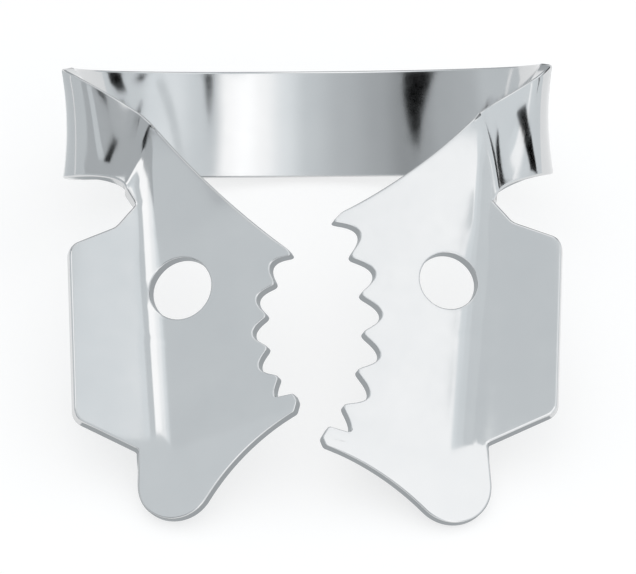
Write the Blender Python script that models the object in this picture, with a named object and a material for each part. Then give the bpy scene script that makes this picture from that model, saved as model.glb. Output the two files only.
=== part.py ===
"""Rubber dam clamp: one stamped and folded spring steel sheet.

Two toothed jaw plates with forceps holes, a wing folded up along each plate and
a flat bow that joins the plates. It lies with the side that faces the gum up,
on the top of its bow and on the front ends of its jaws.
The lengths are in metres, +Z is up.
"""
import math

import bmesh
import bpy
import numpy as np
from mathutils import Matrix, Vector

MM = 0.001

# Sheet
SHEET_THICKNESS = 0.65 * MM
RIM_RADIUS = 0.13 * MM
RIM_STEPS = 2
RIM_ANGLE = math.radians(62)

# Left jaw. X is the distance from the middle line, Y is the distance behind the
# line of the forceps holes, both seen square on the jaws.
LEFT_CREASE = 8.25 * MM
LEFT_CREASE_SPLAY = math.radians(2.7)
LEFT_PLATE_SLOPE = math.radians(20)
LEFT_WING_SLOPE = math.radians(15)
LEFT_TEETH = 6
LEFT_FIRST_TIP_X = 1.30 * MM
LEFT_FIRST_TIP_Y = 0.72 * MM
LEFT_LAST_TIP_X = 1.17 * MM
LEFT_LAST_TIP_Y = -6.90 * MM
LEFT_HEEL_X = 1.46 * MM
LEFT_HEEL_Y = 1.02 * MM
LEFT_NOSE_BACK_X = 1.32 * MM
LEFT_NOSE_BACK_Y = -6.50 * MM
LEFT_GRIP_HOLLOW = 1.40 * MM
LEFT_TOOTH_DEPTH = 0.62 * MM
LEFT_NOSE_X = 1.32 * MM
LEFT_NOSE_Y = -7.42 * MM
LEFT_FRONT_HOLLOW = 0.38 * MM
LEFT_LOBE_CENTRE_X = 7.20 * MM
LEFT_LOBE_CENTRE_Y = -10.34 * MM
LEFT_LOBE_RADIUS = 1.82 * MM
LEFT_LOBE_START = math.radians(-148)
LEFT_LOWER_NOTCH_X = 8.88 * MM
LEFT_LOWER_NOTCH_Y = -8.62 * MM
LEFT_WING_FRONT_X = 12.05 * MM
LEFT_WING_FRONT_Y = -7.22 * MM
LEFT_WING_BACK_X = 12.28 * MM
LEFT_WING_BACK_Y = 1.90 * MM
LEFT_WING_KNEE_X = 9.95 * MM
LEFT_WING_KNEE_Y = 3.10 * MM
LEFT_UPPER_NOTCH_Y = 4.38 * MM
LEFT_ROOT_Y = 8.755 * MM
LEFT_BACK_HOLLOW = 0.26 * MM
LEFT_HOLE_X = 6.78 * MM
LEFT_HOLE_Y = -0.28 * MM
LEFT_HOLE_DIAMETER = 3.22 * MM

# Right jaw, the wider one
RIGHT_CREASE = 8.10 * MM
RIGHT_CREASE_SPLAY = math.radians(5.7)
RIGHT_PLATE_SLOPE = math.radians(13)
RIGHT_WING_SLOPE = math.radians(12)
RIGHT_TEETH = 7
RIGHT_FIRST_TIP_X = 0.89 * MM
RIGHT_FIRST_TIP_Y = 2.80 * MM
RIGHT_LAST_TIP_X = 0.09 * MM
RIGHT_LAST_TIP_Y = -8.50 * MM
RIGHT_HEEL_X = 1.34 * MM
RIGHT_HEEL_Y = 3.30 * MM
RIGHT_NOSE_BACK_X = 0.42 * MM
RIGHT_NOSE_BACK_Y = -7.94 * MM
RIGHT_GRIP_HOLLOW = 1.79 * MM
RIGHT_TOOTH_DEPTH = 0.92 * MM
RIGHT_NOSE_X = 0.25 * MM
RIGHT_NOSE_Y = -8.92 * MM
RIGHT_FRONT_HOLLOW = 0.32 * MM
RIGHT_LOBE_CENTRE_X = 6.50 * MM
RIGHT_LOBE_CENTRE_Y = -10.55 * MM
RIGHT_LOBE_RADIUS = 1.97 * MM
RIGHT_LOBE_START = math.radians(-135)
RIGHT_LOWER_NOTCH_X = 8.24 * MM
RIGHT_LOWER_NOTCH_Y = -8.48 * MM
RIGHT_WING_FRONT_X = 11.72 * MM
RIGHT_WING_FRONT_Y = -7.12 * MM
RIGHT_WING_BACK_X = 12.33 * MM
RIGHT_WING_BACK_Y = 2.06 * MM
RIGHT_WING_KNEE_X = 9.95 * MM
RIGHT_WING_KNEE_Y = 3.18 * MM
RIGHT_UPPER_NOTCH_Y = 4.40 * MM
RIGHT_ROOT_Y = 9.236 * MM
RIGHT_BACK_HOLLOW = 0.34 * MM
RIGHT_HOLE_X = 6.62 * MM
RIGHT_HOLE_Y = 0.04 * MM
RIGHT_HOLE_DIAMETER = 2.96 * MM

# Shapes that both jaws share
CREASE_HALF_WIDTH = 0.50 * MM
CREASE_STRIPS = 8
LOBE_FADE = 2.4 * MM
FADE_STEPS = 4
TOOTH_STEPS = 8
TOOTH_ROUNDING = 0.28
WING_FRONT_RADIUS = 0.75 * MM
WING_BACK_RADIUS = 0.75 * MM
WING_KNEE_RADIUS = 0.80 * MM
CORNER_STEPS = 4
KNEE_STEPS = 2
LOBE_STEPS = 10
EDGE_STEPS = 8
HOLE_STEPS = 28
CUTTER_LENGTH = 4.0 * MM

# Bow. Levels across the strip run up from the jaws, depths run away from them.
BOW_LEAN = math.radians(21)
BOW_LEFT_REACH = 12.50 * MM
BOW_RIGHT_REACH = 12.22 * MM
BOW_LEVEL = 5.49 * MM
BOW_STRIP = 5.60 * MM
BOW_SIDE_DEPTH = 5.6 * MM
BOW_TOP_DEPTH = 13.5 * MM
BOW_SIDE_REACH = 4.6 * MM
BOW_TOP_REACH = 7.4 * MM
BOW_FLARE = 0.22 * MM
LEG_FRONT_RISE = math.radians(53)
LEFT_LEG_BACK_RISE = math.radians(43)
RIGHT_LEG_BACK_RISE = math.radians(36)
LEFT_LEG_FACET = 1.15 * MM
RIGHT_LEG_FACET = 0.45 * MM
LEG_BACK_FACET = 0.42 * MM
LEG_FOLD_ROUND = 0.28 * MM
LEG_FRONT_FOLD = math.radians(24)
LEG_BACK_FOLD = math.radians(8)
LEG_REACH = 1.2 * MM
SIDE_FRONT_REACH = 2.9 * MM
SIDE_BACK_REACH = 1.9 * MM
SIDE_BACK_INSET = 0.7 * MM
LEFT_SIDE_DROP = 0.30 * MM
RIGHT_SIDE_DROP = 0.60 * MM
STRIP_STEPS = 8
FOLD_STEPS = 3
LEG_STEPS = 8
ARCH_STEPS = 14

# Joining the surfaces and setting the clamp down
CUT_DISTANCE = 1e-4 * MM
MERGE_DISTANCE = 1e-4 * MM
REST_TURN_LIMIT = math.radians(60)
REST_STEPS = 60

JAWS = (
    {
        "side": -1.0,
        "crease": LEFT_CREASE,
        "splay": LEFT_CREASE_SPLAY,
        "plate_slope": LEFT_PLATE_SLOPE,
        "wing_slope": LEFT_WING_SLOPE,
        "teeth": LEFT_TEETH,
        "first_tip": (LEFT_FIRST_TIP_X, LEFT_FIRST_TIP_Y),
        "last_tip": (LEFT_LAST_TIP_X, LEFT_LAST_TIP_Y),
        "heel": (LEFT_HEEL_X, LEFT_HEEL_Y),
        "nose_back": (LEFT_NOSE_BACK_X, LEFT_NOSE_BACK_Y),
        "grip_hollow": LEFT_GRIP_HOLLOW,
        "tooth_depth": LEFT_TOOTH_DEPTH,
        "nose": (LEFT_NOSE_X, LEFT_NOSE_Y),
        "front_hollow": LEFT_FRONT_HOLLOW,
        "lobe_centre": (LEFT_LOBE_CENTRE_X, LEFT_LOBE_CENTRE_Y),
        "lobe_radius": LEFT_LOBE_RADIUS,
        "lobe_start": LEFT_LOBE_START,
        "lower_notch": (LEFT_LOWER_NOTCH_X, LEFT_LOWER_NOTCH_Y),
        "wing_front": (LEFT_WING_FRONT_X, LEFT_WING_FRONT_Y),
        "wing_back": (LEFT_WING_BACK_X, LEFT_WING_BACK_Y),
        "wing_knee": (LEFT_WING_KNEE_X, LEFT_WING_KNEE_Y),
        "upper_notch_behind": LEFT_UPPER_NOTCH_Y,
        "root_behind": LEFT_ROOT_Y,
        "back_hollow": LEFT_BACK_HOLLOW,
        "hole": (LEFT_HOLE_X, LEFT_HOLE_Y),
        "hole_diameter": LEFT_HOLE_DIAMETER,
        "bow_reach": BOW_LEFT_REACH,
        "back_rise": LEFT_LEG_BACK_RISE,
        "facet": LEFT_LEG_FACET,
        "side_drop": LEFT_SIDE_DROP,
    },
    {
        "side": 1.0,
        "crease": RIGHT_CREASE,
        "splay": RIGHT_CREASE_SPLAY,
        "plate_slope": RIGHT_PLATE_SLOPE,
        "wing_slope": RIGHT_WING_SLOPE,
        "teeth": RIGHT_TEETH,
        "first_tip": (RIGHT_FIRST_TIP_X, RIGHT_FIRST_TIP_Y),
        "last_tip": (RIGHT_LAST_TIP_X, RIGHT_LAST_TIP_Y),
        "heel": (RIGHT_HEEL_X, RIGHT_HEEL_Y),
        "nose_back": (RIGHT_NOSE_BACK_X, RIGHT_NOSE_BACK_Y),
        "grip_hollow": RIGHT_GRIP_HOLLOW,
        "tooth_depth": RIGHT_TOOTH_DEPTH,
        "nose": (RIGHT_NOSE_X, RIGHT_NOSE_Y),
        "front_hollow": RIGHT_FRONT_HOLLOW,
        "lobe_centre": (RIGHT_LOBE_CENTRE_X, RIGHT_LOBE_CENTRE_Y),
        "lobe_radius": RIGHT_LOBE_RADIUS,
        "lobe_start": RIGHT_LOBE_START,
        "lower_notch": (RIGHT_LOWER_NOTCH_X, RIGHT_LOWER_NOTCH_Y),
        "wing_front": (RIGHT_WING_FRONT_X, RIGHT_WING_FRONT_Y),
        "wing_back": (RIGHT_WING_BACK_X, RIGHT_WING_BACK_Y),
        "wing_knee": (RIGHT_WING_KNEE_X, RIGHT_WING_KNEE_Y),
        "upper_notch_behind": RIGHT_UPPER_NOTCH_Y,
        "root_behind": RIGHT_ROOT_Y,
        "back_hollow": RIGHT_BACK_HOLLOW,
        "hole": (RIGHT_HOLE_X, RIGHT_HOLE_Y),
        "hole_diameter": RIGHT_HOLE_DIAMETER,
        "bow_reach": BOW_RIGHT_REACH,
        "back_rise": RIGHT_LEG_BACK_RISE,
        "facet": RIGHT_LEG_FACET,
        "side_drop": RIGHT_SIDE_DROP,
    },
)


def clear_objects():
    """Start from an empty scene."""
    for item in list(bpy.data.objects):
        bpy.data.objects.remove(item, do_unlink=True)


def bowed_line(start, end, hollow, steps):
    """Points between two ends, on a parabola that dips by `hollow` to its left."""
    start = np.array(start)
    end = np.array(end)
    along = end - start
    left = np.array((-along[1], along[0])) / np.linalg.norm(along)
    share = np.arange(1, steps) / steps
    dip = 4.0 * hollow * share * (1.0 - share)
    return [tuple(start + along * s + left * d) for s, d in zip(share, dip)]


def rounded_corner(before, corner, after, radius, steps):
    """Points of a circular arc that rounds one corner."""
    corner = Vector(corner)
    back = (Vector(before) - corner).normalized()
    ahead = (Vector(after) - corner).normalized()
    half = back.angle(ahead) / 2.0
    centre = corner + (back + ahead).normalized() * radius / math.sin(half)
    first = corner + back * radius / math.tan(half) - centre
    last = corner + ahead * radius / math.tan(half) - centre
    turn = first.angle_signed(last)
    points = []
    for step in range(steps + 1):
        spoke = Matrix.Rotation(-turn * step / steps, 2) @ first
        points.append(tuple(centre + spoke))
    return points


def grip_line(jaw):
    """Toothed edge: scallops cut outward from an arc through the tooth tips."""
    first = np.array(jaw["first_tip"])
    last = np.array(jaw["last_tip"])
    chord = last - first
    length = np.linalg.norm(chord)
    left = np.array((-chord[1], chord[0])) / length
    hollow = jaw["grip_hollow"]
    radius = (length * length / 4.0 + hollow * hollow) / (2.0 * hollow)
    centre = (first + last) / 2.0 + left * (hollow - radius)
    spread = math.asin(length / 2.0 / radius)
    middle = math.atan2(left[1], left[0])
    gaps = jaw["teeth"] - 1
    phase = np.arange(gaps * TOOTH_STEPS - TOOTH_STEPS // 2 + 1) / TOOTH_STEPS
    wave = np.sqrt(np.sin(np.pi * phase) ** 2 + TOOTH_ROUNDING**2) - TOOTH_ROUNDING
    wave = wave / (math.sqrt(1.0 + TOOTH_ROUNDING**2) - TOOTH_ROUNDING)
    angle = middle + spread - 2.0 * spread * phase / gaps
    reach = radius + jaw["tooth_depth"] * wave
    across = centre[0] + reach * np.cos(angle)
    behind = centre[1] + reach * np.sin(angle)
    return list(zip(across.tolist(), behind.tolist()))


def crease_point(jaw, distance, behind):
    """Plan point at a distance outside the crease."""
    return (jaw["crease"] + behind * math.tan(jaw["splay"]) + distance, behind)


def root_point(jaw, share):
    """Plan point of the line where the leg starts. It runs from the upper notch, on
    the outer side of the crease, to the plate's back edge, on its inner side."""
    start = jaw["upper_notch_behind"]
    behind = start + (jaw["root_behind"] - start) * share
    return crease_point(jaw, CREASE_HALF_WIDTH * (1.0 - 2.0 * share), behind)


def jaw_outline(jaw):
    """Edge of a jaw: root line, back edge, teeth, front lobe and wing."""
    root = root_point(jaw, 1.0)
    points = [root_point(jaw, step / STRIP_STEPS) for step in range(STRIP_STEPS + 1)]
    points += bowed_line(root, jaw["heel"], jaw["back_hollow"], EDGE_STEPS)
    points.append(jaw["heel"])
    points += grip_line(jaw)
    points += [jaw["nose_back"], jaw["last_tip"]]
    centre = jaw["lobe_centre"]
    radius = jaw["lobe_radius"]
    start = jaw["lobe_start"]
    first = (centre[0] + radius * math.cos(start), centre[1] + radius * math.sin(start))
    points.append(jaw["nose"])
    points += bowed_line(jaw["nose"], first, jaw["front_hollow"], EDGE_STEPS)
    low = jaw["lower_notch"]
    away = Vector((low[0] - centre[0], low[1] - centre[1]))
    end = math.atan2(away.y, away.x) - math.acos(min(1.0, radius / away.length))
    for step in range(LOBE_STEPS + 1):
        angle = start + (end - start) * step / LOBE_STEPS
        across = centre[0] + radius * math.cos(angle)
        behind = centre[1] + radius * math.sin(angle)
        points.append((across, behind))
    points.append(low)
    front = jaw["wing_front"]
    back = jaw["wing_back"]
    knee = jaw["wing_knee"]
    notch = root_point(jaw, 0.0)
    points += rounded_corner(low, front, back, WING_FRONT_RADIUS, CORNER_STEPS)
    points += rounded_corner(front, back, knee, WING_BACK_RADIUS, CORNER_STEPS)
    points += rounded_corner(back, knee, notch, WING_KNEE_RADIUS, KNEE_STEPS)
    return points


def fold_share(jaw, behind):
    """How much of the wing's fold is there: it fades out into the front lobe."""
    share = (behind - jaw["lower_notch"][1]) / LOBE_FADE + 1.0
    share = max(0.0, min(1.0, share))
    return share * share * (3.0 - 2.0 * share)


def fold(jaw, across, behind):
    """Height of a plan point and its slope outward: the plate falls, the wing rises."""
    distance = across - crease_point(jaw, 0.0, behind)[0]
    near = max(0.0, min(2.0 * CREASE_HALF_WIDTH, distance + CREASE_HALF_WIDTH))
    lift = near * near / (4.0 * CREASE_HALF_WIDTH) + max(0.0, distance - CREASE_HALF_WIDTH)
    fall = math.tan(jaw["plate_slope"])
    turn = fold_share(jaw, behind) * (fall + math.tan(jaw["wing_slope"]))
    height = turn * lift - fall * distance
    return height, turn * near / (2.0 * CREASE_HALF_WIDTH) - fall


def add_jaw(sheet, jaw):
    """Flat plate and wing, cut along the fold and bent."""
    edge = [sheet.verts.new((p[0], p[1], 0.0)) for p in jaw_outline(jaw)]
    faces = [sheet.faces.new(edge)]

    def cut(point, normal, reach):
        target = [f for f in faces if f.is_valid and reach(f.calc_center_median())]
        edges = {e for f in target for e in f.edges}
        verts = {v for f in target for v in f.verts}
        before = set(sheet.faces)
        bmesh.ops.bisect_plane(
            sheet,
            geom=list(verts) + list(edges) + target,
            dist=CUT_DISTANCE,
            plane_co=Vector((point[0], point[1], 0.0)),
            plane_no=Vector((normal[0], normal[1], 0.0)),
        )
        faces.extend(f for f in sheet.faces if f not in before)

    def outside(middle):
        return middle.x > crease_point(jaw, -CREASE_HALF_WIDTH, middle.y)[0]

    slant = (1.0, -math.tan(jaw["splay"]))
    for strip in range(CREASE_STRIPS + 1):
        distance = CREASE_HALF_WIDTH * (2.0 * strip / CREASE_STRIPS - 1.0)
        cut(crease_point(jaw, distance, 0.0), slant, lambda middle: True)
    for step in range(FADE_STEPS + 1):
        offset = LOBE_FADE * step / FADE_STEPS
        cut((0.0, jaw["lower_notch"][1] - offset), (0.0, 1.0), outside)

    bent = [f for f in faces if f.is_valid]
    fading = [f for f in bent if outside(f.calc_center_median())]
    fading = [f for f in fading if 0.0 < fold_share(jaw, f.calc_center_median().y) < 1.0]
    for vert in {v for f in bent for v in f.verts}:
        across, behind = vert.co.x, vert.co.y
        vert.co = (jaw["side"] * across, behind, fold(jaw, across, behind)[0])
    bmesh.ops.triangulate(sheet, faces=fading)


def bezier(points, steps, first):
    """Points on a cubic curve, without its start unless asked for."""
    share = np.linspace(0.0, 1.0, steps + 1)[0 if first else 1:, None]
    rest = 1.0 - share
    a, b, c, d = (np.array(p) for p in points)
    return rest**3 * a + 3.0 * rest**2 * share * b + 3.0 * rest * share**2 * c + share**3 * d


def bow_point(across, level, depth):
    """Place a point of the bow's own leaning frame in the jaws' frame."""
    lean = BOW_LEAN
    behind = level * math.cos(lean) + depth * math.sin(lean)
    height = level * math.sin(lean) - depth * math.cos(lean)
    return (across, behind, height)


def half_bow(jaw, share):
    """One line along a leg and half the arch, at a share of the strip's width."""
    side = jaw["side"]
    across, behind = root_point(jaw, share)
    height, slope = fold(jaw, across, behind)
    start = np.array((side * across, behind, height))
    climb = math.atan(slope)
    outward = np.array((side * math.cos(climb), 0.0, math.sin(climb)))
    first = root_point(jaw, 0.0)
    last = root_point(jaw, 1.0)
    backward = np.array((last[0] - first[0], last[1] - first[1]))
    lift = slope * (backward[0] - backward[1] * math.tan(jaw["splay"]))
    backward = np.array((side * backward[0], backward[1], lift))
    backward = backward / np.linalg.norm(backward)
    rise = LEG_FRONT_RISE + (jaw["back_rise"] - LEG_FRONT_RISE) * share
    heading = outward * math.cos(rise) + backward * math.sin(rise)
    down = side * np.cross(backward, outward)
    down = down / np.linalg.norm(down)
    bend = LEG_FRONT_FOLD + (LEG_BACK_FOLD - LEG_FRONT_FOLD) * share
    folded = heading * math.cos(bend) + down * math.sin(bend)
    facet = LEG_BACK_FACET + (jaw["facet"] - LEG_BACK_FACET) * (1.0 - share) ** 2
    corner = start + heading * facet
    before = corner - heading * LEG_FOLD_ROUND
    after = corner + folded * LEG_FOLD_ROUND
    level = BOW_LEVEL + BOW_STRIP * share
    half = jaw["bow_reach"] + BOW_FLARE * (2.0 * share - 1.0) ** 2
    side_reach = SIDE_FRONT_REACH + (SIDE_BACK_REACH - SIDE_FRONT_REACH) * share**2
    inset = SIDE_BACK_INSET * share**2
    drop = jaw["side_drop"] * share**2
    turned = []
    for step in range(FOLD_STEPS):
        t = step / FOLD_STEPS
        turned.append((1.0 - t) ** 2 * before + 2.0 * (1.0 - t) * t * corner + t * t * after)
    leg = bezier(
        (
            after,
            after + folded * LEG_REACH,
            bow_point(side * (half - inset), level - drop, BOW_SIDE_DEPTH - side_reach),
            bow_point(side * half, level, BOW_SIDE_DEPTH),
        ),
        LEG_STEPS,
        True,
    )
    arch = bezier(
        (
            bow_point(side * half, level, BOW_SIDE_DEPTH),
            bow_point(side * half, level, BOW_SIDE_DEPTH + BOW_SIDE_REACH),
            bow_point(side * BOW_TOP_REACH, level, BOW_TOP_DEPTH),
            bow_point(0.0, level, BOW_TOP_DEPTH),
        ),
        ARCH_STEPS,
        False,
    )
    return np.vstack((start, turned, leg, arch))


def add_bow(sheet):
    """Strip of quads from the left plate over the arch to the right plate."""
    rows = []
    for step in range(STRIP_STEPS + 1):
        share = step / STRIP_STEPS
        left = half_bow(JAWS[0], share)
        right = half_bow(JAWS[1], share)
        line = np.vstack((left, right[-2::-1]))
        rows.append([sheet.verts.new(p) for p in line])
    for low, high in zip(rows[:-1], rows[1:]):
        for index in range(len(low) - 1):
            corners = (low[index], low[index + 1], high[index + 1], high[index])
            sheet.faces.new(corners)


def build_sheet():
    """Surface of the side that faces the gum, as one connected sheet."""
    sheet = bmesh.new()
    for jaw in JAWS:
        add_jaw(sheet, jaw)
    add_bow(sheet)
    bmesh.ops.remove_doubles(sheet, verts=sheet.verts, dist=MERGE_DISTANCE)
    bmesh.ops.recalc_face_normals(sheet, faces=sheet.faces)
    largest = max(sheet.faces, key=lambda f: f.calc_area())
    if largest.normal.z < 0.0:
        bmesh.ops.reverse_faces(sheet, faces=sheet.faces)
    mesh = bpy.data.meshes.new("sheet")
    sheet.to_mesh(mesh)
    sheet.free()
    return mesh


def hole_cutter(jaw):
    """Round bar square through a plate at its forceps hole."""
    across, behind = jaw["hole"]
    slope = math.tan(jaw["plate_slope"])
    splay = math.tan(jaw["splay"])
    fall = slope * (across - crease_point(jaw, 0.0, behind)[0])
    centre = Vector((jaw["side"] * across, behind, -fall))
    normal = Vector((jaw["side"] * slope, -slope * splay, 1.0)).normalized()
    bar = bmesh.new()
    bmesh.ops.create_cone(
        bar,
        cap_ends=True,
        segments=HOLE_STEPS,
        radius1=jaw["hole_diameter"] / 2.0,
        radius2=jaw["hole_diameter"] / 2.0,
        depth=CUTTER_LENGTH,
        matrix=Matrix.Translation(centre) @ normal.to_track_quat("Z", "Y").to_matrix().to_4x4(),
    )
    mesh = bpy.data.meshes.new("hole_cutter")
    bar.to_mesh(mesh)
    bar.free()
    cutter = bpy.data.objects.new("hole_cutter", mesh)
    bpy.context.scene.collection.objects.link(cutter)
    return cutter


def thicken(mesh):
    """Give the sheet its thickness, punch the holes and round every rim."""
    blank = bpy.data.objects.new("blank", mesh)
    bpy.context.scene.collection.objects.link(blank)
    solid = blank.modifiers.new("thickness", "SOLIDIFY")
    solid.thickness = SHEET_THICKNESS
    solid.offset = -1.0
    solid.use_even_offset = True
    solid.use_quality_normals = True
    cutters = [hole_cutter(jaw) for jaw in JAWS]
    for cutter in cutters:
        punch = blank.modifiers.new("punch", "BOOLEAN")
        punch.operation = "DIFFERENCE"
        punch.solver = "EXACT"
        punch.object = cutter
    rim = blank.modifiers.new("rims", "BEVEL")
    rim.width = RIM_RADIUS
    rim.segments = RIM_STEPS
    rim.limit_method = "ANGLE"
    rim.angle_limit = RIM_ANGLE
    rim.use_clamp_overlap = True
    bpy.context.view_layer.update()
    graph = bpy.context.evaluated_depsgraph_get()
    shaped = bpy.data.meshes.new_from_object(blank.evaluated_get(graph))
    for item in cutters + [blank]:
        bpy.data.objects.remove(item, do_unlink=True)
    return shaped


def rest_turn(points):
    """Tilt about X that sets the bow's top and the front lobes on one level."""
    front = points[points[:, 1] < 0.0]
    back = points[points[:, 1] >= 0.0]
    low = 0.0
    high = REST_TURN_LIMIT
    for _ in range(REST_STEPS):
        turn = (low + high) / 2.0
        front_low = (front[:, 1] * math.sin(turn) + front[:, 2] * math.cos(turn)).min()
        back_low = (back[:, 1] * math.sin(turn) + back[:, 2] * math.cos(turn)).min()
        if front_low > back_low:
            low = turn
        else:
            high = turn
    return (low + high) / 2.0


def spring_steel():
    """Satin spring steel."""
    steel = bpy.data.materials.new("spring_steel")
    steel.use_nodes = True
    shader = steel.node_tree.nodes["Principled BSDF"]
    shader.inputs["Base Color"].default_value = (0.62, 0.64, 0.66, 1.0)
    shader.inputs["Metallic"].default_value = 1.0
    shader.inputs["Roughness"].default_value = 0.28
    return steel


def build_clamp():
    """The finished clamp, resting on the floor over the origin."""
    mesh = thicken(build_sheet())
    points = np.empty(len(mesh.vertices) * 3)
    mesh.vertices.foreach_get("co", points)
    points = points.reshape(-1, 3)
    turn = Matrix.Rotation(rest_turn(points), 4, "X")
    mesh.transform(turn)
    mesh.vertices.foreach_get("co", points.reshape(-1))
    low = points.min(axis=0)
    high = points.max(axis=0)
    middle = (low + high) / 2.0
    mesh.transform(Matrix.Translation((-middle[0], -middle[1], -low[2])))
    mesh.polygons.foreach_set("use_smooth", [True] * len(mesh.polygons))
    mesh.name = "clamp"
    clamp = bpy.data.objects.new("clamp", mesh)
    bpy.context.scene.collection.objects.link(clamp)
    clamp.data.materials.clear()
    clamp.data.materials.append(spring_steel())
    return clamp


clear_objects()
build_clamp()
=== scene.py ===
"""Looks of a rubber dam clamp: a stamped and folded spring steel sheet.

Lengths are worked out in millimetres in the jaws' own frame (x across the jaws,
y back towards the bow, z up on the side that faces the gum), then turned and
lowered on to the floor, in metres.
"""

import bpy
import numpy as np
from mathutils import Matrix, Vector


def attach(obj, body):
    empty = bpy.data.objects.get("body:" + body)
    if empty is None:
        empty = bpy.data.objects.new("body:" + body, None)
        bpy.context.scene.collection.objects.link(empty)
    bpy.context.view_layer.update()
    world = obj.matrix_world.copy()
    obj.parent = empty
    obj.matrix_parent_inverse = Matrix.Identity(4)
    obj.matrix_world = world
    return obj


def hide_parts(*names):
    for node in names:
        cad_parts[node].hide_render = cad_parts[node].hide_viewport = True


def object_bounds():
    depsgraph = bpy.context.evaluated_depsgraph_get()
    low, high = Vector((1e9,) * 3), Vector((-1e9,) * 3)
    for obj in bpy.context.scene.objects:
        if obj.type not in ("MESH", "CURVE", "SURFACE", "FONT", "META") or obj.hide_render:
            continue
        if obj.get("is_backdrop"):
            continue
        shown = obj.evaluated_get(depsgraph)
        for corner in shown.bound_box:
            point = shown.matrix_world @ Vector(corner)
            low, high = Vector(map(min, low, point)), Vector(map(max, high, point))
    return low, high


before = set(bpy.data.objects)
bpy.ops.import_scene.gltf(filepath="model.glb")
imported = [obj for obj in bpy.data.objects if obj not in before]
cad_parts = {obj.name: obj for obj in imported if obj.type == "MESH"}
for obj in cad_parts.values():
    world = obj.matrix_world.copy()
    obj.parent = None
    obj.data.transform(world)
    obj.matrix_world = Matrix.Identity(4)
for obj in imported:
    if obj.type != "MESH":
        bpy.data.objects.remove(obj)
cad_low, cad_high = (np.array(corner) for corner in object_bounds())

MM = 0.001
FULL_TURN = 2.0 * np.pi

# Sheet and how the clamp lies on the floor
SHEET_THICKNESS = 0.65
RIM_RADIUS = 0.12
RIM_SEGMENTS = 3
TOOTH_RIM_SHARE = 0.5
HOLE_RIM_SHARE = 0.6
REST_TURN = np.radians(23.94361305499962)
REST_SHIFT = np.array([0.14000342, -2.95207879, 5.67410413])
REST_MATRIX = np.array(
    (
        (1.0, 0.0, 0.0),
        (0.0, np.cos(REST_TURN), -np.sin(REST_TURN)),
        (0.0, np.sin(REST_TURN), np.cos(REST_TURN)),
    )
)

# Fold between plate and wing: half its width near the root, between which places
# along the jaw it tightens, and the length over which it fades out into the lobe
CREASE_HALF_WIDTH = 0.50
CREASE_FADE = (1.0, 3.5)
LOBE_FADE = 2.4

# Roundings of the outline
TOOTH_ROUNDING = 0.28
WING_FRONT_RADIUS = 0.75
WING_BACK_RADIUS = 0.75
WING_KNEE_RADIUS = 0.80

# The two jaws: plan points are (distance from the middle, place towards the bow)
LEFT = {
    "side": -1.0,
    "crease": 8.25,
    "soft_half_width": 0.75,
    "splay": np.radians(2.7),
    "plate_slope": np.radians(20.0),
    "wing_slope": np.radians(15.0),
    "teeth": 6,
    "first_tip": (1.30, 0.72),
    "last_tip": (1.17, -6.90),
    "heel": (1.46, 1.02),
    "nose_back": (1.32, -6.50),
    "grip_hollow": 1.40,
    "tooth_depth": 0.62,
    "nose": (1.32, -7.42),
    "front_hollow": 0.38,
    "lobe_centre": (7.20, -10.34),
    "lobe_radius": 1.82,
    "lobe_start": np.radians(-148.0),
    "lower_notch": (8.88, -8.62),
    "wing_front": (12.05, -7.22),
    "wing_back": (12.28, 1.90),
    "wing_knee": (9.95, 3.10),
    "upper_notch": (8.957, 4.38),
    "root": (8.1629, 8.755),
    "back_hollow": 0.26,
    "hole": (6.78, -0.28),
    "hole_radius": 1.61,
    "bow_reach": 12.50,
    "back_rise": np.radians(43.0),
    "facet": 1.15,
    "side_drop": 0.30,
}
RIGHT = {
    "side": 1.0,
    "crease": 8.10,
    "soft_half_width": 1.05,
    "splay": np.radians(5.7),
    "plate_slope": np.radians(13.0),
    "wing_slope": np.radians(12.0),
    "teeth": 7,
    "first_tip": (0.89, 2.80),
    "last_tip": (0.09, -8.50),
    "heel": (1.34, 3.30),
    "nose_back": (0.42, -7.94),
    "grip_hollow": 1.79,
    "tooth_depth": 0.92,
    "nose": (0.25, -8.92),
    "front_hollow": 0.32,
    "lobe_centre": (6.50, -10.55),
    "lobe_radius": 1.97,
    "lobe_start": np.radians(-135.0),
    "lower_notch": (8.24, -8.48),
    "wing_front": (11.72, -7.12),
    "wing_back": (12.33, 2.06),
    "wing_knee": (9.95, 3.18),
    "upper_notch": (9.039, 4.40),
    "root": (8.5219, 9.236),
    "back_hollow": 0.34,
    "hole": (6.62, 0.04),
    "hole_radius": 1.48,
    "bow_reach": 12.22,
    "back_rise": np.radians(36.0),
    "facet": 0.45,
    "side_drop": 0.60,
}

# Bow: levels run up its strip and depths away from the jaws, in its own leaning
# frame; the reaches are those of the curves' control points
BOW_LEAN = np.radians(21.0)
BOW_LEVEL = 5.49
BOW_STRIP = 5.60
BOW_SIDE_DEPTH = 5.6
BOW_TOP_DEPTH = 13.5
BOW_SIDE_REACH = 4.6
BOW_TOP_REACH = 7.4
BOW_FLARE = 0.22
LEG_FRONT_RISE = np.radians(53.0)
LEG_FRONT_REACH = 1.2
LEG_BACK_REACH = 1.2
LEG_FRONT_FOLD = np.radians(24.0)
LEG_BACK_FOLD = np.radians(8.0)
LEG_FOLD_ROUND = 0.28
LEG_BACK_FACET = 0.42
SIDE_FRONT_REACH = 2.9
SIDE_BACK_REACH = 1.9
SIDE_BACK_INSET = 0.7

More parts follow.
